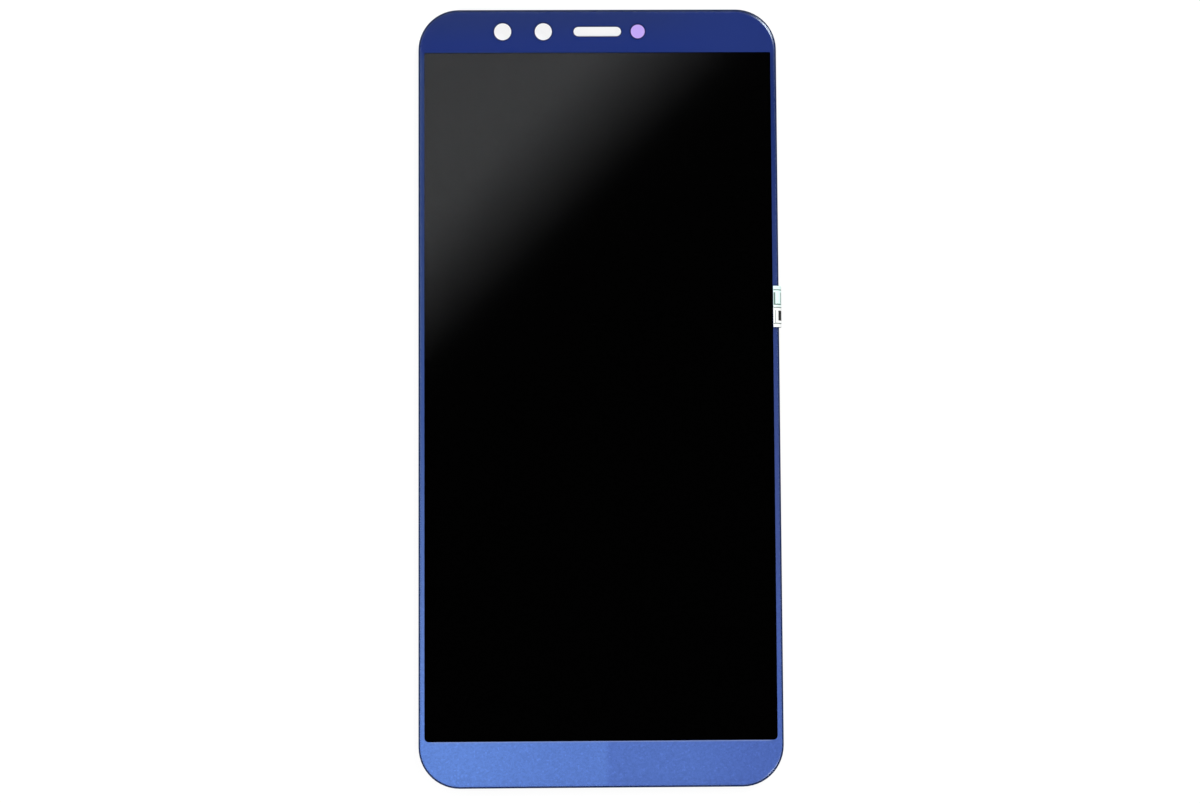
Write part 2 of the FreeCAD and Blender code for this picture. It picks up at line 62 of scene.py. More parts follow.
class Finish:
    # one material and short calls that add its nodes from left to right
    def __init__(self, name):
        self.material = bpy.data.materials.new(name)
        self.material.use_nodes = True
        self.tree = self.material.node_tree
        self.tree.nodes.clear()
        self.output = self.tree.nodes.new("ShaderNodeOutputMaterial")
        self.column = 0
        coords = self.add("ShaderNodeTexCoord")
        split = self.add("ShaderNodeSeparateXYZ", {"Vector": coords.outputs["Object"]})
        self.place = coords.outputs["Object"]
        self.x, self.y, self.z = split.outputs

    def add(self, kind, inputs=None, **settings):
        node = self.tree.nodes.new(kind)
        self.column += 1
        node.location = (180 * self.column - 3000, -220 * (self.column % 3))
        for name, value in settings.items():
            setattr(node, name, value)
        for name, value in (inputs or {}).items():
            self.feed(node.inputs[name], value)
        return node

    def feed(self, socket, value):
        if isinstance(value, bpy.types.NodeSocket):
            self.tree.links.new(value, socket)
        else:
            socket.default_value = value

    def maths(self, operation, first, second=0.0, third=0.0):
        node = self.add("ShaderNodeMath", operation=operation)
        for socket, value in zip(node.inputs, (first, second, third)):
            self.feed(socket, value)
        return node.outputs[0]

    def fade(self, value, start, stop, low=0.0, high=1.0):  # smooth step from low to high
        node = self.add("ShaderNodeMapRange", interpolation_type="SMOOTHSTEP")
        for name, number in (("Value", value), ("From Min", start), ("From Max", stop)):
            self.feed(node.inputs[name], number)
        node.inputs["To Min"].default_value = low
        node.inputs["To Max"].default_value = high
        return node.outputs["Result"]

    def ramp(self, value, stops, start, stop):  # colour stops along a stretch of one coordinate
        along = self.add("ShaderNodeMapRange", {"Value": value, "From Min": start, "From Max": stop})
        node = self.add("ShaderNodeValToRGB", {"Fac": along.outputs["Result"]})
        band = node.color_ramp
        while len(band.elements) < len(stops):
            band.elements.new(0.5)
        for element, (where, colour) in zip(band.elements, stops):
            element.position = (where - start) / (stop - start)
            element.color = linear(*colour)
        return node.outputs["Color"]

    def blend(self, share, first, second, mode="MIX"):
        node = self.add("ShaderNodeMix", data_type="RGBA", blend_type=mode)
        self.feed(node.inputs[0], share)
        self.feed(node.inputs[6], first)
        self.feed(node.inputs[7], second)
        return node.outputs[2]

    def noise(self, scale, detail=2.0, rough=0.5, stretch=None):
        place = self.place
        if stretch:
            place = self.add("ShaderNodeMapping", {"Vector": place, "Scale": stretch}).outputs[0]
        settings = {"Vector": place, "Scale": scale, "Detail": detail, "Roughness": rough}
        return self.add("ShaderNodeTexNoise", settings).outputs["Fac"]

    def bump(self, height, distance):
        return self.add("ShaderNodeBump", {"Height": height, "Distance": distance}).outputs["Normal"]

    def surface(self, **inputs):
        return self.add("ShaderNodeBsdfPrincipled", {k.replace("_", " "): v for k, v in inputs.items()})

    def show(self, shader):
        self.tree.links.new(shader.outputs[0], self.output.inputs["Surface"])
        return self.material


def paint(material, *names):
    for name in names:
        slots = nodes[name].material_slots
        for slot in slots:
            slot.material = material
        if not slots:
            nodes[name].data.materials.append(material)


print("stage: camera and light")

camera = {
    "place": (-0.00371, -0.01780, 0.00345 + 0.31295),
    "turn": (3.000, -0.682, -0.329),
    "lens": 50.0,
}
cameraData = bpy.data.cameras.new("camera")
cameraData.lens = camera["lens"]
cameraData.clip_start = 0.01
cameraData.clip_end = 20.0
cameraObject = bpy.data.objects.new("camera", cameraData)
cameraObject.location = camera["place"]
cameraObject.rotation_euler = [math.radians(angle) for angle in camera["turn"]]
bpy.context.scene.collection.objects.link(cameraObject)
bpy.context.scene.camera = cameraObject
bpy.context.scene.view_settings.view_transform = "Standard"

sky = {
    # height of a ray's direction above which the tent is open, and the height where it is white again
    "dark": (0.955, 0.90),
    # slope of a ray at which the white card starts to fade, and the slope where it has gone
    "cardEdge": (-0.255, -0.1645),
    "cardPower": 1.43,
    "ambient": 0.85,  # brightness of the tent as a lamp, where 1 is its brightness to the eye
}
world = bpy.data.worlds.new("tent")
world.use_nodes = True
bpy.context.scene.world = world


def buildSky():
    # white all round; overhead it is open and dark, except for a card whose edge runs diagonally past
    # the lens
    tree = world.node_tree
    tree.nodes.clear()
    add = tree.nodes.new
    join = tree.links.new
    coords = add("ShaderNodeTexCoord")
    split = add("ShaderNodeSeparateXYZ")
    join(coords.outputs["Generated"], split.inputs[0])

    def maths(operation, first, second=0.0):
        node = add("ShaderNodeMath")
        node.operation = operation
        for socket, value in zip(node.inputs, (first, second)):
            if isinstance(value, bpy.types.NodeSocket):
                join(value, socket)
            else:
                socket.default_value = value
        return node.outputs[0]

    def ramp(value, start, stop):
        node = add("ShaderNodeMapRange")
        join(value, node.inputs["Value"])
        node.inputs["From Min"].default_value = start
        node.inputs["From Max"].default_value = stop
        return node.outputs["Result"]

    x, y, z = split.outputs
    slope = maths("DIVIDE", maths("SUBTRACT", x, y), maths("MAXIMUM", z, 0.05))
    full, gone = sky["cardEdge"]
    card = maths("POWER", ramp(slope, gone, full), sky["cardPower"])
    tent = ramp(z, *sky["dark"])
    light = maths("MAXIMUM", card, tent)
    path = add("ShaderNodeLightPath")
    seen = maths("MAXIMUM", path.outputs["Is Camera Ray"], path.outputs["Is Glossy Ray"])
    seen = maths("MAXIMUM", seen, path.outputs["Is Transmission Ray"])
    strength = maths("ADD", maths("MULTIPLY", seen, 1.0 - sky["ambient"]), sky["ambient"])
    background = add("ShaderNodeBackground")
    background.inputs["Color"].default_value = (1.0, 1.0, 1.0, 1.0)
    join(maths("MULTIPLY", light, strength), background.inputs["Strength"])
    output = add("ShaderNodeOutputWorld")
    join(background.outputs[0], output.inputs["Surface"])


buildSky()

lamps = {
    "key": {"place": (0.275, 0.405, 0.755), "size": 0.03, "power": 2.5},
    "edge": {"place": (0.283, -0.347, 0.820), "size": 0.03, "power": 0.5},
    "fill": {"place": (-0.60, -0.30, 0.50), "size": 0.60, "power": 1.5},
}
for lampName, lamp in lamps.items():
    lampData = bpy.data.lights.new(lampName, "AREA")
    lampData.shape = "DISK"
    lampData.size = lamp["size"]
    lampData.energy = lamp["power"]
    lampObject = bpy.data.objects.new(lampName, lampData)
    lampObject.location = lamp["place"]
    aim = -np.array(lamp["place"])
    turn = (math.atan2(math.hypot(aim[0], aim[1]), -aim[2]), 0.0, math.atan2(-aim[0], aim[1]))
    lampObject.rotation_euler = turn
    bpy.context.scene.collection.objects.link(lampObject)

ground = {
    "half": 3.0,
    "level": boundsBefore[0][2],
    "tones": ((112, 112, 112), (118, 118, 118)),
    "glow": 0.86,  # what its own light adds where the floor is looked at, which makes it white
}


def buildGround():
    half, level = ground["half"], ground["level"]
    mesh = bpy.data.meshes.new("ground")
    corners = [(-half, -half, level), (half, -half, level), (half, half, level), (-half, half, level)]
    mesh.from_pydata(corners, [], [(0, 1, 2, 3)])
    floor = bpy.data.objects.new("ground", mesh)
    bpy.context.scene.collection.objects.link(floor)
    finish = Finish("pale ground")
    grain = finish.noise(60.0, 3.0)
    dark, pale = ground["tones"]
    colour = finish.blend(grain, linear(*dark), linear(*pale))
    path = finish.add("ShaderNodeLightPath")
    seen = finish.maths("MAXIMUM", path.outputs["Is Camera Ray"], path.outputs["Is Glossy Ray"])
    seen = finish.maths("MAXIMUM", seen, path.outputs["Is Transmission Ray"])
    glow = finish.maths("MULTIPLY", seen, ground["glow"])
    mesh.materials.append(finish.show(finish.surface(
        Base_Color=colour, Roughness=0.9, Specular_IOR_Level=0.0,
        Emission_Color=(1.0, 1.0, 1.0, 1.0), Emission_Strength=glow,
    )))


buildGround()

print("stage: glass, ink and cell")

glass = {
    "halfWidth": 0.0340,
    "halfHeight": 0.0733,
    "corner": 0.0077,
    "roll": 0.00052,  # width of the polished front edge, a quarter of an ellipse
    "drop": 0.00020,  # how far that edge falls over its width
    "rim": 0.00023,  # width of the painted dark outline that stands in for the shade at the glass edge over the ink
    "coating": 0.10,  # share of bare glass's mirror that the coated flat keeps
    "polish": (0.20, 0.03),  # roughness of the rolled edge and of the flat
    "tint": (0.62, 0.71, 0.80, 1.0),
}


def inset(finish):
    # how far a point lies inside the rounded rectangle of the glass, and the way outwards from it: the corner
    # radius, less the distance to the smaller rectangle that the corner centres span
    smallX = glass["halfWidth"] - glass["corner"]
    smallY = glass["halfHeight"] - glass["corner"]
    across = finish.maths("SUBTRACT", finish.maths("ABSOLUTE", finish.x), smallX)
    along = finish.maths("SUBTRACT", finish.maths("ABSOLUTE", finish.y), smallY)
    within = finish.maths("MINIMUM", finish.maths("MAXIMUM", across, along), 0.0)
    across = finish.maths("MAXIMUM", across, 0.0)
    along = finish.maths("MAXIMUM", along, 0.0)
    square = finish.maths(
        "ADD", finish.maths("MULTIPLY", across, across), finish.maths("MULTIPLY", along, along))
    reach = finish.maths("SQRT", square)
    depth = finish.maths("SUBTRACT", glass["corner"], finish.maths("ADD", reach, within))
    reach = finish.maths("MAXIMUM", reach, 1e-6)
    outX = finish.maths("MULTIPLY", finish.maths("DIVIDE", across, reach), finish.maths("SIGN", finish.x))
    outY = finish.maths("MULTIPLY", finish.maths("DIVIDE", along, reach), finish.maths("SIGN", finish.y))
    return depth, outX, outY


def rolledNormal(finish, depth, outX, outY):
    # the slope of the polished edge at each point of the front: drop / roll x t / sqrt(1 - t x t), where t
    # goes from 0 at the start of the roll to 1 at the rim; other faces keep their own normal
    t = finish.maths("MINIMUM", finish.maths("MAXIMUM", finish.maths(
        "SUBTRACT", 1.0, finish.maths("DIVIDE", depth, glass["roll"])), 0.0), 0.97)
    rise = finish.maths("SQRT", finish.maths("SUBTRACT", 1.0, finish.maths("MULTIPLY", t, t)))
    slope = finish.maths("MULTIPLY", finish.maths("DIVIDE", t, rise), glass["drop"] / glass["roll"])
    tilted = finish.add("ShaderNodeCombineXYZ", {
        "X": finish.maths("MULTIPLY", outX, slope), "Y": finish.maths("MULTIPLY", outY, slope), "Z": 1.0})
    unit = finish.add("ShaderNodeVectorMath", {0: tilted.outputs[0]}, operation="NORMALIZE")
    own = finish.add("ShaderNodeNewGeometry").outputs["Normal"]
    facing = finish.add("ShaderNodeSeparateXYZ", {"Vector": own}).outputs[2]
    front = finish.maths("GREATER_THAN", facing, 0.25)
    mixed = finish.add("ShaderNodeMix", data_type="VECTOR")
    finish.feed(mixed.inputs[0], front)
    finish.feed(mixed.inputs[4], own)
    finish.feed(mixed.inputs[5], unit.outputs[0])
    return mixed.outputs[1], front


def coverGlass():
    # clear, with a coated flat that mirrors little and a bare rolled edge that mirrors as glass does; at the
    # outermost rim a painted dark outline stands in for the shade of the glass edge over the ink
    finish = Finish("cover glass")
    clear = finish.add("ShaderNodeBsdfTransparent", {"Color": (0.993, 0.993, 0.997, 1.0)})
    # painted shade: an opaque dark blue surface standing in for the shade at the glass edge
    rimShadeSurface = finish.surface(Base_Color=linear(26, 42, 82), Roughness=0.25, Specular_IOR_Level=0.0)
    depth, outX, outY = inset(finish)
    normal, front = rolledNormal(finish, depth, outX, outY)
    fresnel = finish.add("ShaderNodeFresnel", {"IOR": 1.45, "Normal": normal})
    rollEnd = (glass["roll"] * 0.85, glass["roll"] * 1.05)
    coated = finish.fade(depth, *rollEnd, 1.0, glass["coating"])
    gloss = finish.maths("MULTIPLY", fresnel.outputs[0], coated)
    polish = finish.fade(depth, *rollEnd, *glass["polish"])
    mirror = finish.add("ShaderNodeBsdfGlossy", {
        "Color": glass["tint"], "Roughness": polish, "Normal": normal}, distribution="BECKMANN")
    skin = finish.add("ShaderNodeMixShader", {0: gloss, 1: clear.outputs[0], 2: mirror.outputs[0]})
    # painted shade: the outermost rim of the front shows the dark surface instead of clear glass
    outlineShade = finish.fade(depth, glass["rim"] * 0.8, glass["rim"] * 1.2, 0.95, 0.0)
    rim = finish.maths("MULTIPLY", front, outlineShade)
    mix = finish.add("ShaderNodeMixShader", {0: rim, 1: skin.outputs[0], 2: rimShadeSurface.outputs[0]})
    return finish.show(mix)


openings = {
    "row": 0.06926,
    "ring": 0.00024,  # width of the dark ring round each opening
    # middle along x, half length of the straight run, radius
    "places": [
        (-0.01803, 0.0, 0.00163),
        (-0.01029, 0.0, 0.00163),
        (0.0, 0.003625, 0.00085),
        (0.00772, 0.0, 0.00133),
    ],
}

ink = {
    # the two gradients over the ink's blue, bright at the foot and dark at the head, left side and right
    # side;
    # partly the ink's own colour and partly painted light: the brightening towards the foot and the left
    # stands in for light on the metallic ink
    "left": [
        (-0.066, (100, 137, 214)), (-0.048, (100, 130, 196)), (-0.005, (64, 88, 148)),
        (0.035, (46, 65, 118)),
    ],
    "right": [(-0.062, (80, 107, 182)), (-0.030, (70, 88, 150)), (0.050, (32, 49, 106))],
    # stretches of x over which the right side's colours come in, each with its share
    "across": [(-0.034, -0.001, 0.42), (0.0004, 0.0018, 0.34), (0.015, 0.032, 0.28)],
    # the top band: where it starts along y, where its own fade runs, and where it turns paler along x
    "band": (0.0635, 0.0660),
    "bandFade": (0.0660, 0.0725),
    "bandPale": (0.004, 0.028),
    "level": 0.915,
    "flakes": 3300.0,  # grains per metre
    "clouds": 2000.0,
    # the painted highlight line at the window's foot: heights where it starts, is full, is still full and has
    # gone
    "foot": (-0.06502, -0.06494, -0.0647, -0.0640),
    "footReach": (0.0312, 0.0322),
}


def borderInk():
    # dark blue at the earpiece end, clearing to a bright metallic blue at the other, paler towards the left;
    # the brightening towards the foot and the left is partly painted light over the ink's own blue
    finish = Finish("border ink")
    end = glass["halfHeight"]
    left = finish.ramp(finish.y, ink["left"], -end, end)
    right = finish.ramp(finish.y, ink["right"], -end, end)
    across = 0.0
    for start, stop, share in ink["across"]:
        across = finish.maths("ADD", across, finish.fade(finish.x, start, stop, 0.0, share))
    body = finish.blend(across, left, right)
    fresh = finish.fade(finish.y, *ink["bandFade"])
    head = finish.blend(fresh, linear(30, 49, 119), linear(36, 52, 110))
    head = finish.blend(finish.fade(finish.x, *ink["bandPale"]), head, linear(38, 55, 120))
    body = finish.blend(finish.fade(finish.y, *ink["band"]), body, head)
    # flake: single grains of about 0.3 mm over soft clouds, with a few bright grains as painted glints, and
    # stronger where the colour is bright
    flake = finish.add("ShaderNodeTexVoronoi", {"Vector": finish.place, "Scale": ink["flakes"]})
    fleck = finish.add("ShaderNodeSeparateColor", {"Color": flake.outputs["Color"]}).outputs[0]
    cloud = finish.noise(ink["clouds"], 2.0, 0.6)
    glitter = finish.fade(finish.y, 0.02, -0.066, 0.03, 0.15)
    even = finish.maths("SUBTRACT", fleck, 0.5)
    grain = finish.maths("MULTIPLY_ADD", finish.maths("SUBTRACT", cloud, 0.5), 0.8, even)
    grain = finish.maths("MULTIPLY_ADD", finish.fade(fleck, 0.93, 0.99), 0.5, grain)
    lift = finish.maths("MULTIPLY_ADD", grain, glitter, ink["level"])
    # painted light: the ink is made brighter over the last 1.2 mm towards the glass edge
    depth = inset(finish)[0]
    lift = finish.maths("ADD", lift, finish.fade(depth, 0.0012, 0.0002, 0.0, 0.10))
    tone = finish.add("ShaderNodeCombineColor", {"Red": lift, "Green": lift, "Blue": lift}).outputs[0]
    body = finish.blend(1.0, body, tone, "MULTIPLY")
    # painted highlight: a thin paler line along the foot of the window's edge
    starts, full, leaves, gone = ink["foot"]
    foot = finish.maths(
        "MULTIPLY", finish.fade(finish.y, starts, full), finish.fade(finish.y, gone, leaves))
    side = finish.fade(finish.maths("ABSOLUTE", finish.x), *ink["footReach"], 0.55, 0.0)
    body = finish.blend(finish.maths("MULTIPLY", foot, side), body, linear(136, 150, 194))
    # a thin dark ring round each opening, at its distance from the run
    ring = 0.0
    for middle, run, radius in openings["places"]:
        across = finish.maths("ABSOLUTE", finish.maths("SUBTRACT", finish.x, middle))
        across = finish.maths("MAXIMUM", finish.maths("SUBTRACT", across, run), 0.0)
        along = finish.maths("SUBTRACT", finish.y, openings["row"])
        away = finish.maths("SQRT", finish.maths(
            "ADD", finish.maths("MULTIPLY", across, across), finish.maths("MULTIPLY", along, along)))
        beyond = finish.maths("SUBTRACT", away, radius)
        near = finish.fade(beyond, openings["ring"], openings["ring"] * 1.6, 1.0, 0.0)
        ring = finish.maths("MAXIMUM", ring, near)
    body = finish.blend(finish.maths("MULTIPLY", ring, 0.7), body, linear(10, 22, 64))
    # seen from behind, the dark cover coat hides the colour
    own = finish.add("ShaderNodeNewGeometry").outputs["Normal"]
    facing = finish.add("ShaderNodeSeparateXYZ", {"Vector": own}).outputs[2]
    backing = finish.blend(cloud, linear(24, 27, 36), linear(38, 42, 54))
    body = finish.blend(finish.maths("LESS_THAN", facing, -0.5), body, backing)
    return finish.show(finish.surface(Base_Color=body, Roughness=0.45, Specular_IOR_Level=0.0))


def polarizerFilm():
    # black with a fine mottle that is only just seen, and an even soft sheen
    finish = Finish("front polarizer")
    grain = finish.noise(2600.0, 2.0)
    colour = finish.blend(grain, linear(0, 0, 0), linear(3, 3, 3))
    return finish.show(finish.surface(Base_Color=colour, Roughness=0.059, Specular_IOR_Level=0.5))


def sensorInk():
    # partly the ink's purple and partly painted light: the pale lilac stands in for white light from behind
    # passing through the thin ink
    finish = Finish("sensor ink")
    cloud = finish.noise(900.0, 2.0)
    colour = finish.blend(cloud, linear(178, 151, 227), linear(191, 166, 237))
    return finish.show(finish.surface(Base_Color=colour, Roughness=0.4, Specular_IOR_Level=0.2))


paint(coverGlass(), "cover_glass")
paint(borderInk(), "border_ink")
paint(polarizerFilm(), "front_polarizer")
paint(sensorInk(), "sensor_window_ink")


def clearLayer():
    finish = Finish("optical adhesive")
    clear = finish.add("ShaderNodeBsdfTransparent", {"Color": (0.99, 0.99, 0.99, 1.0)})
    return finish.show(clear)


paint(clearLayer(), "optical_adhesive")

print("stage: small pieces on the back")

flexFace = 0.00070  # height of the outer face of the flexible circuit, which looks down
flexBend = -0.06859  # where the flat of the circuit starts
sunk = 0.00001  # how deep the small pieces are let into the circuit


def gridMesh(name, points, closed=(False, False)):
    # a mesh from grids of points, shape (pieces, rows, columns, 3), where each cell becomes one face; closed
    # joins the last row or column to the first, and points that fall together are made one
    points = np.asarray(points, dtype=float)
    pieces, rows, columns = points.shape[:3]
    row = np.arange(rows if closed[0] else rows - 1)
    column = np.arange(columns if closed[1] else columns - 1)
    base = np.arange(pieces)[:, None, None] * rows * columns
    r0, c0 = row[None, :, None], column[None, None, :]
    r1, c1 = (r0 + 1) % rows, (c0 + 1) % columns
    faces = np.stack([base + r0 * columns + c0, base + r1 * columns + c0,
                      base + r1 * columns + c1, base + r0 * columns + c1], axis=-1).reshape(-1, 4)
    mesh = bpy.data.meshes.new(name)
    mesh.from_pydata(points.reshape(-1, 3).tolist(), [], faces.tolist())
    shell = bmesh.new()
    shell.from_mesh(mesh)
    bmesh.ops.remove_doubles(shell, verts=shell.verts, dist=1e-7)
    bmesh.ops.recalc_face_normals(shell, faces=shell.faces)
    shell.to_mesh(mesh)
    shell.free()
    piece = bpy.data.objects.new(name, mesh)
    bpy.context.scene.collection.objects.link(piece)
    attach(piece, "root")
    return piece


def dress(piece, material, smooth=False):
    piece.data.materials.append(material)
    piece.data.polygons.foreach_set("use_smooth", np.full(len(piece.data.polygons), smooth))
    return piece


def alongRoutes(routes, profile, level):
    # carries one flat profile (sideways, downwards) along many level routes: at each point the profile is
    # laid out across the mean of the two runs that meet there, widened by 1 / cos of half the turn
    runs = np.diff(routes, axis=1)
    runs /= np.linalg.norm(runs, axis=2, keepdims=True)
    before = np.concatenate([runs[:, :1], runs], axis=1)
    after = np.concatenate([runs, runs[:, -1:]], axis=1)
    mean = before + after
    mean /= np.linalg.norm(mean, axis=2, keepdims=True)
    widen = 1.0 / np.sum(mean * before, axis=2, keepdims=True)
    sideways = np.stack([mean[..., 1], -mean[..., 0]], axis=-1) * widen
    across, down = profile[:, 0], profile[:, 1]
    flat = routes[:, :, None, :] + sideways[:, :, None, :] * across[None, None, :, None]
    height = np.broadcast_to(level - down, flat.shape[:3])
    return np.concatenate([flat, height[..., None]], axis=-1)


def closeEnds(grid):
    # draws the first and last row of every grid in to its own middle, so that the ends are shut
    first = np.broadcast_to(grid[:, :1].mean(axis=2, keepdims=True), grid[:, :1].shape)
    last = np.broadcast_to(grid[:, -1:].mean(axis=2, keepdims=True), grid[:, -1:].shape)
    return np.concatenate([first, grid, last], axis=1)


def closeSides(grid):
    # draws the first and last column of every grid in to its own middle
    first = np.broadcast_to(grid[:, :, :1].mean(axis=1, keepdims=True), grid[:, :, :1].shape)
    last = np.broadcast_to(grid[:, :, -1:].mean(axis=1, keepdims=True), grid[:, :, -1:].shape)
    return np.concatenate([first, grid, last], axis=2)


traces = {
    "count": 26,
    "pitch": 0.00027,
    "width": 0.00013,
    "relief": 0.000014,
    "tailLow": 0.0020,  # middle of the tail below and above its jog
    "tailHigh": 0.0080,
    "jog": (-0.04559, -0.03659),
    "spread": 0.0344,  # how far apart the outermost two leave the bend
    # where the inner, the far left and the far right ones turn sideways
    "turns": (-0.0664, -0.0556, -0.0606),
    "end": -0.01365,
    "cut": 0.00045,
}


def flexTraces():
    # each route goes up from the bend, sideways, up the tail, across the jog and on to the connector; corners
    # are cut at 45 degrees by swapping each corner for two points a little before and behind it
    count = traces["count"]
    order = np.arange(count) - (count - 1) / 2
    offset = order * traces["pitch"]
    start = traces["tailLow"] + order / (count - 1) * traces["spread"]
    outer = np.abs(order) / np.abs(order).max()
    inside, left, right = traces["turns"]
    turn = inside + outer * (np.where(order < 0, left, right) - inside)
    shift = traces["tailHigh"] - traces["tailLow"]
    lean = math.tan(math.atan2(shift, traces["jog"][1] - traces["jog"][0]) / 2)
    low = traces["tailLow"] + offset
    high = traces["tailHigh"] + offset
    bottom = np.full(count, flexBend)
    top = np.full(count, traces["end"])
    corners = np.stack([
        np.stack([start, bottom], -1),
        np.stack([start, turn], -1),
        np.stack([low, turn], -1),
        np.stack([low, traces["jog"][0] + offset * lean], -1),
        np.stack([high, traces["jog"][1] + offset * lean], -1),
        np.stack([high, top], -1),
    ], axis=1)
    runs = np.diff(corners, axis=1)
    length = np.linalg.norm(runs, axis=2, keepdims=True)
    runs = runs / length
    cut = np.minimum(traces["cut"], length * 0.4)
    before = corners[:, 1:-1] - runs[:, :-1] * cut[:, :-1]
    behind = corners[:, 1:-1] + runs[:, 1:] * cut[:, 1:]
    inner = np.stack([before, behind], axis=2).reshape(count, -1, 2)
    routes = np.concatenate([corners[:, :1], inner, corners[:, -1:]], axis=1)
    half, relief = traces["width"] / 2, traces["relief"]
    profile = np.array([(half, -sunk), (half, relief * 0.5), (half * 0.7, relief),
                        (-half * 0.7, relief), (-half, relief * 0.5), (-half, -sunk)])
    grid = closeEnds(alongRoutes(routes, profile, flexFace))
    return gridMesh("flex_traces", grid, (False, True))


def domes(name, centres, radius, height, sides):
    # shallow round buttons that hang from the circuit: radius x sin and height x cos of one angle, turned
    # round the middle by the other
    lift = np.linspace(0.0, math.pi / 2, 5)
    turn = np.arange(sides) / sides * 2 * math.pi
    out = np.sin(lift)[:, None] * radius
    x = out * np.cos(turn)
    y = out * np.sin(turn)
    z = np.broadcast_to(flexFace - np.cos(lift)[:, None] * height, x.shape)
    base = np.stack([x[-1], y[-1], np.full(sides, flexFace + sunk)], -1)[None]
    floor = np.broadcast_to([0.0, 0.0, flexFace + sunk], (1, sides, 3))
    grid = np.concatenate([np.stack([x, y, z], -1), base, floor], axis=0)
    centres = np.asarray(centres, dtype=float)
    shift = np.concatenate([centres, np.zeros((len(centres), 1))], axis=1)
    return gridMesh(name, grid[None] + shift[:, None, None, :], (False, True))


pads = {
    "radius": 0.00036,
    "height": 0.00002,
    "sides": 20,
    "places": [(-0.0197, -0.0560), (-0.0197, -0.0576), (-0.0197, -0.0592),
               (0.0211, -0.0672), (0.0211, -0.0657), (0.0211, -0.0642)],
}


def testPads():
    return domes(
        "test_pads", pads["places"], pads["radius"], pads["height"], pads["sides"])


capacitors = {
    "rows": [(-0.0030, -0.06139, 5, 1), (0.0155, -0.06439, 6, -1)],  # first x, y, how many, way along x
    "pitch": 0.0017,
    "half": 0.0005,
    "width": 0.0005,
    "reach": 0.00022,
    "climb": 0.00024,
}


def solderFillets():
    # at each end of each capacitor a hollow slope: reach x (1 - sin) outwards and climb x (1 - cos) down the
    # end face, narrower at its foot
    centres = np.array([(x + way * step * capacitors["pitch"], y)
                        for x, y, count, way in capacitors["rows"] for step in range(count)])
    sides = np.repeat([(1.0,), (-1.0,)], len(centres), axis=0)[:, 0]
    centres = np.concatenate([centres, centres])
    angle = np.linspace(0.0, math.pi / 2, 7)
    out = capacitors["reach"] * (1 - np.sin(angle))
    down = capacitors["climb"] * (1 - np.cos(angle))
    half = capacitors["width"] / 2
    across = np.array([-1.0, -0.6, 0.0, 0.6, 1.0])
    crown = np.array([0.0, 0.9, 1.0, 0.9, 0.0])
    widen = half * (1.06 + 0.10 * out / capacitors["reach"])
    x = np.broadcast_to(out[:, None], (7, 5))
    y = widen[:, None] * across
    z = down[:, None] * crown + 0.000008 * crown
    front = np.stack([x, y, flexFace - z], -1)
    under = np.full((1, 5), -2 * sunk)
    base = np.full((1, 5), flexFace + sunk)
    heel = np.stack([under, y[-1:], flexFace - z[-1:]], -1)
    back = np.stack([under, y[-1:], base], -1)
    foot = np.stack([x[:1], y[:1], base], -1)
    grid = np.concatenate([front, heel, back, foot], axis=0)[None]
    grid = np.repeat(grid, len(centres), axis=0)
    grid[..., 0] = centres[:, 0, None, None] + sides[:, None, None] * (capacitors["half"] + grid[..., 0])
    grid[..., 1] = centres[:, 1, None, None] + sides[:, None, None] * grid[..., 1]
    return gridMesh("solder_fillets", closeSides(grid), (True, False))


chips = {
    "flex_memory_chip": {"reach": 0.00045, "climb": 0.00028},
    "flex_power_chip": {"reach": 0.00038, "climb": 0.00024},
}


def underfill():
    # a collar of resin round each chip: a hollow slope, reach x (1 - sin) out and climb x (1 - cos) down the
    # sides, carried round the chip's rectangle with corners as wide as the slope, and slightly uneven
    grids = []
    for chipName, size in chips.items():
        low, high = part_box(chipName)
        turn = np.linspace(0.0, 2 * math.pi, 64, endpoint=False)
        way = np.stack([np.cos(turn), np.sin(turn)], -1)
        half = np.array([high[0] - low[0], high[1] - low[1]]) / 2
        middle = np.array([high[0] + low[0], high[1] + low[1]]) / 2
        scale = 1.0 / np.max(np.abs(way) / half, axis=1)
        ring = way * scale[:, None]
        angle = np.linspace(0.0, math.pi / 2, 7)
        wander = 1.0 + 0.16 * np.sin(3 * turn + 0.7) + 0.08 * np.sin(7 * turn + 2.1)
        out = size["reach"] * (1 - np.sin(angle))[:, None] * wander
        down = np.broadcast_to(size["climb"] * (1 - np.cos(angle))[:, None], out.shape)
        base = np.full((64, 1), flexFace + sunk)
        top = np.full((64, 1), flexFace - size["climb"])
        slope = middle + ring[None] + way[None] * out[..., None]
        skirt = np.concatenate([
            np.concatenate([middle + ring * 0.96, base], 1)[None],
            np.concatenate([middle + ring + way * out[:1].T, base], 1)[None],
            np.concatenate([slope, (flexFace - down)[..., None]], 2),
            np.concatenate([middle + ring * 0.96, top], 1)[None],
        ], axis=0)
        grids.append(skirt)
    return gridMesh("chip_underfill", np.stack(grids), (True, True))


print("stage: other pieces")


def plainFinish(name, look):
    # a mottled surface between two tones, with its roughness and relief from the same noise
    finish = Finish(name)
    cloud = finish.noise(look["scale"], 4.0, 0.55, look.get("stretch"))
    dark, pale = look["tones"]
    colour = finish.blend(cloud, linear(*dark), linear(*pale))
    rough = finish.fade(cloud, 0.3, 0.7, *look["rough"])
    inputs = {"Base_Color": colour, "Roughness": rough, "Metallic": look.get("metal", 0.0)}
    if "relief" in look:
        inputs["Normal"] = finish.bump(cloud, look["relief"])
    return finish.show(finish.surface(**inputs))


def lines(finish, value, pitch, share):
    # 1 on thin lines a pitch apart and 0 between them, with soft edges
    wave = finish.maths("ABSOLUTE", finish.maths("SINE", finish.maths("MULTIPLY", value, math.pi / pitch)))
    edge = math.sin(share * math.pi / 2)
    return finish.fade(wave, edge * 0.7, edge * 1.3, 1.0, 0.0)


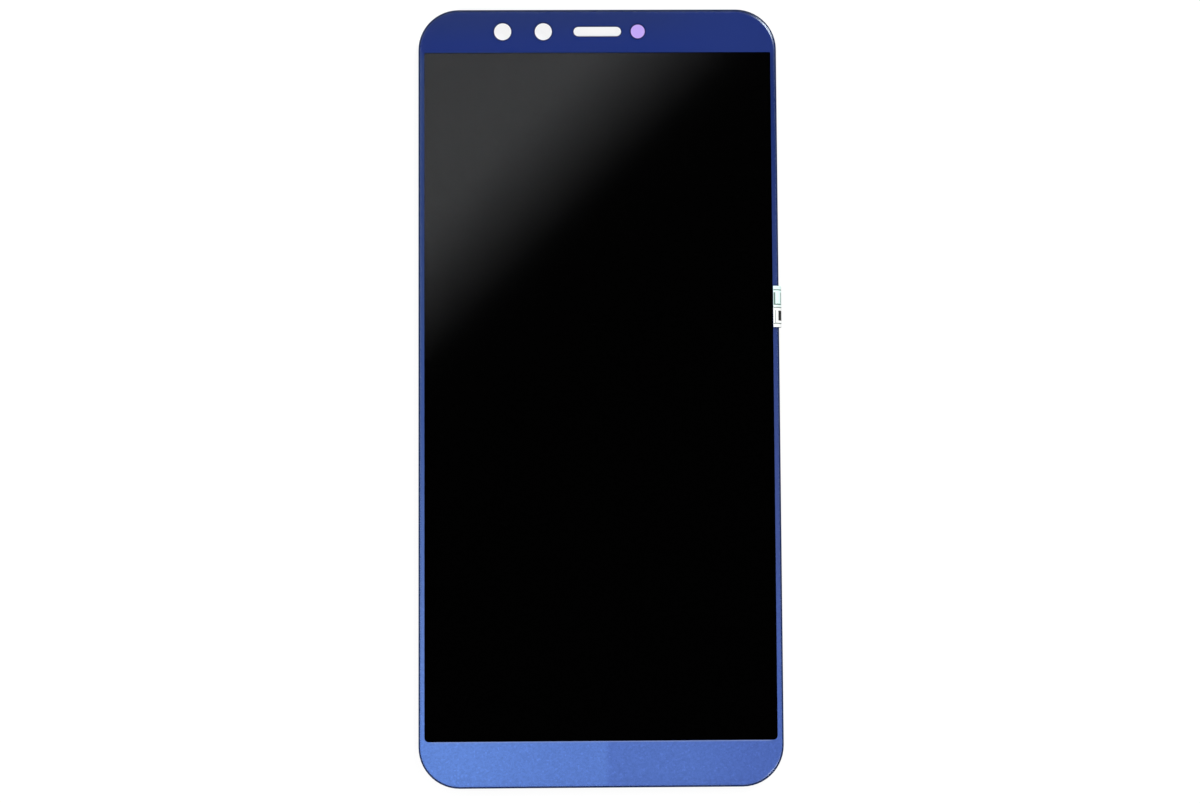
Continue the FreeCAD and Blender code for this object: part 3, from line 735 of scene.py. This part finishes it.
def trayMetal(name, dark, pale, roughLow, roughHigh):
    # rolled stainless sheet: long fine streaks along y, broader clouds, and a few short scratches across
    finish = Finish(name)
    streak = finish.noise(2600.0, 3.0, 0.6, (1.0, 0.012, 1.0))
    cloud = finish.noise(70.0, 3.0, 0.5)
    scratch = finish.fade(finish.noise(2400.0, 1.0, 0.4, (0.06, 1.0, 1.0)), 0.755, 0.79)
    tone = finish.maths("MULTIPLY_ADD", streak, 0.6, finish.maths("MULTIPLY", cloud, 0.4))
    colour = finish.blend(finish.fade(tone, 0.25, 0.75), linear(*dark), linear(*pale))
    colour = finish.blend(finish.maths("MULTIPLY", scratch, 0.30), colour, linear(232, 232, 230))
    rough = finish.maths(
        "ADD", finish.fade(streak, 0.3, 0.7, roughLow, roughHigh), finish.fade(cloud, 0.4, 0.6, 0.0, 0.05))
    height = finish.maths("SUBTRACT", streak, finish.maths("MULTIPLY", scratch, 0.8))
    return finish.show(finish.surface(
        Base_Color=colour, Roughness=rough, Metallic=1.0, Anisotropic=0.4,
        Normal=finish.bump(height, 0.0000022)))


def flexFilm():
    # amber cover film over a hatched copper sheet, with a slight orange peel
    finish = Finish("amber film")
    hatch = finish.maths(
        "MAXIMUM",
        lines(finish, finish.maths("ADD", finish.x, finish.y), 0.00085, 0.30),
        lines(finish, finish.maths("SUBTRACT", finish.x, finish.y), 0.00085, 0.30))
    cloud = finish.noise(260.0, 3.0)
    film = finish.blend(cloud, linear(74, 36, 12), linear(92, 48, 17))
    copper = finish.blend(cloud, linear(100, 54, 20), linear(118, 68, 28))
    colour = finish.blend(finish.maths("MULTIPLY", hatch, 0.75), film, copper)
    height = finish.maths("MULTIPLY_ADD", finish.noise(2200.0, 2.0), 0.4, hatch)
    return finish.show(finish.surface(
        Base_Color=colour, Roughness=finish.fade(cloud, 0.3, 0.7, 0.20, 0.30),
        Normal=finish.bump(height, 0.0000025)))


def traceFilm():
    finish = Finish("covered copper")
    cloud = finish.noise(900.0, 3.0, 0.55, (1.0, 0.3, 1.0))
    colour = finish.blend(cloud, linear(128, 74, 28), linear(152, 92, 38))
    return finish.show(finish.surface(
        Base_Color=colour, Roughness=finish.fade(cloud, 0.3, 0.7, 0.20, 0.32), Metallic=0.35,
        Normal=finish.bump(cloud, 0.000002)))


def wovenCloth():
    # plain weave: over-and-under threads from two crossed waves, nickel grey, with painted shade darkening
    # the gaps
    finish = Finish("conductive cloth")
    pitch = 0.00016
    warp = finish.maths("SINE", finish.maths("MULTIPLY", finish.x, math.pi / pitch))
    weft = finish.maths("SINE", finish.maths("MULTIPLY", finish.y, math.pi / pitch))
    over = finish.maths("MULTIPLY", warp, weft)
    thread = finish.maths("MAXIMUM", finish.maths("ABSOLUTE", warp), finish.maths("ABSOLUTE", weft))
    relief = finish.maths("MULTIPLY_ADD", over, 0.35, thread)
    cloud = finish.noise(1200.0, 3.0)
    # painted shade: the colour is darker where the weave's relief is low
    shade = finish.maths("MULTIPLY_ADD", cloud, 0.3, finish.fade(relief, 0.55, 1.25, 0.0, 0.7))
    colour = finish.blend(shade, linear(112, 113, 116), linear(198, 199, 201))
    return finish.show(finish.surface(
        Base_Color=colour, Roughness=finish.fade(cloud, 0.3, 0.7, 0.30, 0.45), Metallic=0.9,
        Normal=finish.bump(relief, 0.000008)))


def lampStrip():
    # white cover film with the copper of two supply lines showing faintly through
    finish = Finish("lamp strip")
    cloud = finish.noise(800.0, 3.0)
    white = finish.blend(cloud, linear(218, 213, 198), linear(234, 229, 216))
    supply = lines(finish, finish.maths("ADD", finish.y, 0.00012), 0.00062, 0.45)
    colour = finish.blend(finish.maths("MULTIPLY", supply, 0.22), white, linear(206, 168, 112))
    height = finish.maths("MULTIPLY_ADD", cloud, 0.4, supply)
    return finish.show(finish.surface(
        Base_Color=colour, Roughness=finish.fade(cloud, 0.3, 0.7, 0.30, 0.42),
        Normal=finish.bump(height, 0.000003)))


def brightMetal(name, dark, pale, grain, roughLow, roughHigh, depth):
    # plated or wetted metal: two noises, one for tone and one for the fine relief
    finish = Finish(name)
    cloud = finish.noise(grain, 3.0, 0.55)
    fine = finish.noise(grain * 5, 2.0)
    colour = finish.blend(cloud, linear(*dark), linear(*pale))
    return finish.show(finish.surface(
        Base_Color=colour, Roughness=finish.fade(cloud, 0.3, 0.7, roughLow, roughHigh), Metallic=1.0,
        Normal=finish.bump(fine, depth)))


def mouldedEpoxy(name, dark, pale, pits):
    # fine cast grain with sparse pale filler specks
    finish = Finish(name)
    grain = finish.noise(5200.0, 3.0, 0.6)
    speck = finish.fade(finish.noise(9000.0, 1.0), 0.68, 0.74)
    colour = finish.blend(grain, linear(*dark), linear(*pale))
    colour = finish.blend(finish.maths("MULTIPLY", speck, 0.4), colour, linear(96, 96, 98))
    return finish.show(finish.surface(
        Base_Color=colour, Roughness=finish.fade(grain, 0.3, 0.7, 0.48, 0.66),
        Normal=finish.bump(grain, pits)))


def resinCollar():
    finish = Finish("chip resin")
    cloud = finish.noise(2200.0, 3.0)
    colour = finish.blend(cloud, linear(26, 24, 24), linear(46, 42, 38))
    return finish.show(finish.surface(
        Base_Color=colour, Roughness=finish.fade(cloud, 0.3, 0.7, 0.12, 0.24),
        Normal=finish.bump(cloud, 0.000003)))


solder = brightMetal("solder", (172, 174, 176), (206, 208, 210), 1500.0, 0.14, 0.30, 0.000003)
gold = brightMetal("contact gold", (222, 178, 92), (240, 200, 116), 2200.0, 0.16, 0.28, 0.000001)
dress(flexTraces(), traceFilm())
dress(testPads(), gold, True)
dress(solderFillets(), solder, True)
dress(underfill(), resinCollar(), True)

paint(trayMetal("tray steel", (170, 172, 174), (203, 205, 206), 0.24, 0.34), "backlight_tray")
paint(trayMetal("stiffener steel", (150, 151, 152), (188, 189, 189), 0.28, 0.38), "connector_stiffener")
paint(flexFilm(), "main_flex")
paint(wovenCloth(), "ground_tape")
paint(lampStrip(), "led_flex")
paint(solder, "led_flex_solder")
paint(brightMetal("tin plate", (166, 168, 170), (200, 202, 204), 2600.0, 0.22, 0.38, 0.000002),
      "connector_hold_downs", "capacitor_terminals")
paint(gold, "connector_contacts")
paint(mouldedEpoxy("connector plastic", (20, 20, 21), (38, 38, 39), 0.000004), "connector_housing")
paint(mouldedEpoxy("chip epoxy", (24, 24, 25), (42, 42, 44), 0.000006),
      "flex_memory_chip", "flex_power_chip")

plainLooks = {
    "capacitor ceramic": {
        "tones": ((116, 84, 56), (146, 110, 78)), "scale": 3200.0, "rough": (0.35, 0.55),
        "relief": 0.000005, "pieces": ["flex_capacitors"]},
    "silicon": {
        "tones": ((84, 84, 92), (124, 124, 134)), "scale": 700.0, "rough": (0.08, 0.2),
        "metal": 0.6, "pieces": ["driver_ic"]},
    "array glass": {
        "tones": ((150, 160, 162), (176, 184, 186)), "scale": 300.0, "rough": (0.06, 0.12),
        "pieces": ["tft_glass", "color_filter_glass"]},
    "rear polarizer": {
        "tones": ((60, 62, 66), (76, 78, 82)), "scale": 300.0, "rough": (0.2, 0.3),
        "pieces": ["rear_polarizer"]},
    "cell seal": {
        "tones": ((146, 138, 108), (172, 164, 134)), "scale": 900.0, "rough": (0.4, 0.6),
        "relief": 0.000004, "pieces": ["cell_seal"]},
    "liquid crystal": {
        "tones": ((52, 53, 58), (66, 67, 73)), "scale": 500.0, "rough": (0.1, 0.2),
        "pieces": ["liquid_crystal_layer"]},
    "bonding film": {
        "tones": ((136, 114, 80), (166, 142, 106)), "scale": 900.0, "rough": (0.4, 0.6),
        "relief": 0.000003, "pieces": ["driver_bonding_film", "flex_bonding_film"]},
    "ledge coating": {
        "tones": ((28, 34, 70), (40, 50, 96)), "scale": 900.0, "rough": (0.15, 0.3),
        "relief": 0.000005, "pieces": ["ledge_coating"]},
    "black tape": {
        "tones": ((13, 13, 14), (27, 27, 28)), "scale": 1800.0, "rough": (0.5, 0.7),
        "relief": 0.00001, "pieces": ["rim_tape", "flex_tape"]},
    "prism film": {
        "tones": ((196, 202, 208), (216, 220, 226)), "scale": 900.0, "rough": (0.2, 0.3),
        "relief": 0.000003, "stretch": (0.05, 1.0, 1.0),
        "pieces": ["upper_prism_sheet", "lower_prism_sheet"]},
    "diffuser film": {
        "tones": ((220, 220, 216), (236, 236, 232)), "scale": 2400.0, "rough": (0.5, 0.7),
        "relief": 0.000003, "pieces": ["diffuser_sheet"]},
    "light guide": {
        "tones": ((206, 218, 222), (224, 234, 238)), "scale": 200.0, "rough": (0.05, 0.1),
        "pieces": ["light_guide_plate"]},
    "reflector film": {
        "tones": ((230, 230, 230), (245, 245, 245)), "scale": 400.0, "rough": (0.18, 0.3),
        "pieces": ["reflector_sheet"]},
    "frame plastic": {
        "tones": ((220, 219, 214), (237, 236, 232)), "scale": 1200.0, "rough": (0.4, 0.6),
        "relief": 0.000005, "pieces": ["mold_frame"]},
    "lamp package": {
        "tones": ((214, 212, 204), (234, 232, 226)), "scale": 2400.0, "rough": (0.4, 0.6),
        "relief": 0.000003, "pieces": ["backlight_leds"]},
    "phosphor": {
        "tones": ((220, 188, 40), (240, 210, 72)), "scale": 2400.0, "rough": (0.3, 0.5),
        "relief": 0.000004, "pieces": ["led_phosphor"]},
}
for lookName, look in plainLooks.items():
    paint(plainFinish(lookName, look), *look["pieces"])

label = {
    "left": 0.03300,
    "right": 0.03480,
    "box": (0.03302, 0.03450, 0.01668, 0.01908),  # a faint frame, then the plain dark bar under it
    "bar": (0.03388, 0.03480, 0.01372, 0.01562),
    "stroke": (0.03328, 0.03342, 0.01312, 0.01570),
    "rules": (0.01955, 0.01622, 0.01318),
    "line": 0.00020,
    "tint": (0.01600, 0.01690),  # heights between which the paper turns from white to faintly green
}


def labelPaper():
    # coated paper, faintly green above, with thin grey-green rules, an empty frame and a plain dark bar
    finish = Finish("label paper")

    def band(value, low, high, soft=0.00004):
        rise = finish.fade(value, low - soft, low + soft)
        return finish.maths("MULTIPLY", rise, finish.fade(value, high - soft, high + soft, 1.0, 0.0))

    def block(x0, x1, y0, y1):
        return finish.maths("MULTIPLY", band(finish.x, x0, x1), band(finish.y, y0, y1))

    cloud = finish.noise(900.0, 4.0, 0.55)
    white = finish.blend(cloud, linear(248, 252, 250), linear(255, 255, 255))
    green = finish.blend(cloud, linear(222, 255, 247), linear(234, 255, 254))
    paper = finish.blend(finish.fade(finish.y, *label["tint"]), white, green)
    half = label["line"] / 2
    marks = 0.0
    for y in label["rules"]:
        marks = finish.maths("MAXIMUM", marks, block(label["left"], label["right"], y - half, y + half))
    x0, x1, y0, y1 = label["box"]
    outer = block(x0, x1, y0, y1)
    inner = block(x0 + label["line"] * 1.6, x1 - label["line"] * 0.8, y0 + label["line"] * 1.2, y1 + 0.0002)
    marks = finish.maths("MAXIMUM", marks, finish.maths("SUBTRACT", outer, inner))
    marks = finish.maths("MAXIMUM", marks, block(*label["stroke"]))
    body = finish.blend(finish.maths("MULTIPLY", marks, 0.88), paper, linear(66, 90, 82))
    body = finish.blend(block(*label["bar"]), body, linear(3, 6, 6))
    return finish.show(finish.surface(
        Base_Color=body, Roughness=0.55, Specular_IOR_Level=0.3, Normal=finish.bump(cloud, 0.000006)))


paint(labelPaper(), "seal_label")

print("stage: done")
